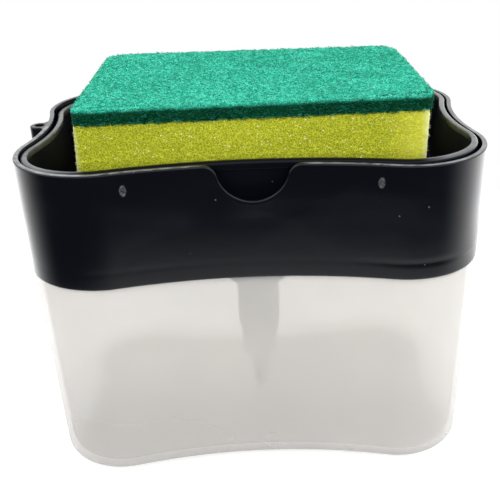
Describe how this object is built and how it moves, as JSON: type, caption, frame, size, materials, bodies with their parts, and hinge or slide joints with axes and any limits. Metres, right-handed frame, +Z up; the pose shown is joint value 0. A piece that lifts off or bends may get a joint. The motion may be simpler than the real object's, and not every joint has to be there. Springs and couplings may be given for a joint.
{
  "type": "soap pump caddy",
  "caption": "Tank of washing-up liquid with a spring-loaded sponge dish on top: pushing the sponge down pumps soap up through the dish.",
  "frame": {"origin": "middle of the tank's underside", "axes": "+X along the long side to the right, -Y to the front with the finger notch, +Z up"},
  "size_m": [0.1373, 0.0924, 0.115],
  "materials": {
    "tank_plastic": "satin",
    "cover_plastic": "satin",
    "tray_plastic": "satin",
    "closure_plastic": "satin",
    "pump_plastic": "satin",
    "tube_plastic": "satin",
    "seal_rubber": "matte",
    "spring_steel": "polished",
    "ball_glass": "polished",
    "foam": "matte",
    "scourer": "matte"
  },
  "bodies": {
    "reservoir": {"reservoir": "tank_plastic"},
    "cover": {"cover": "cover_plastic", "pump_closure": "closure_plastic", "pump_gasket": "seal_rubber", "pump_housing": "pump_plastic", "guide_bush": "pump_plastic", "dip_tube": "tube_plastic", "return_spring": "spring_steel"},
    "plunger": {"pump_stem": "pump_plastic", "piston_rod": "pump_plastic", "piston_seal": "seal_rubber"},
    "tray": {"sponge_tray": "tray_plastic", "soap_outlet": "pump_plastic"},
    "sponge": {"sponge_foam": "foam", "scouring_pad": "scourer"},
    "inlet_valve": {"inlet_ball": "ball_glass"},
    "outlet_valve": {"outlet_ball": "ball_glass"}
  },
  "joints": [
    {"name": "cover_lift", "type": "slide", "parent": "reservoir", "child": "cover", "axis": [0, 0, 1], "range_m": [0, 0.1]},
    {"name": "stem_press", "type": "slide", "parent": "cover", "child": "plunger", "axis": [0, 0, -1], "range_m": [0, 0.009], "stiffness_N_per_m": 500, "springref_m": -0.012, "deforming": ["return_spring"]},
    {"name": "tray_lift", "type": "slide", "parent": "plunger", "child": "tray", "axis": [0, 0, 1], "range_m": [0, 0.05]},
    {"name": "sponge_lift", "type": "slide", "parent": "tray", "child": "sponge", "axis": [0, 0, 1], "range_m": [0, 0.06]},
    {"name": "inlet_valve_lift", "type": "slide", "parent": "cover", "child": "inlet_valve", "axis": [0, 0, 1], "range_m": [0, 0.0015]},
    {"name": "outlet_valve_lift", "type": "slide", "parent": "plunger", "child": "outlet_valve", "axis": [0, 0, 1], "range_m": [0, 0.0015]}
  ]
}
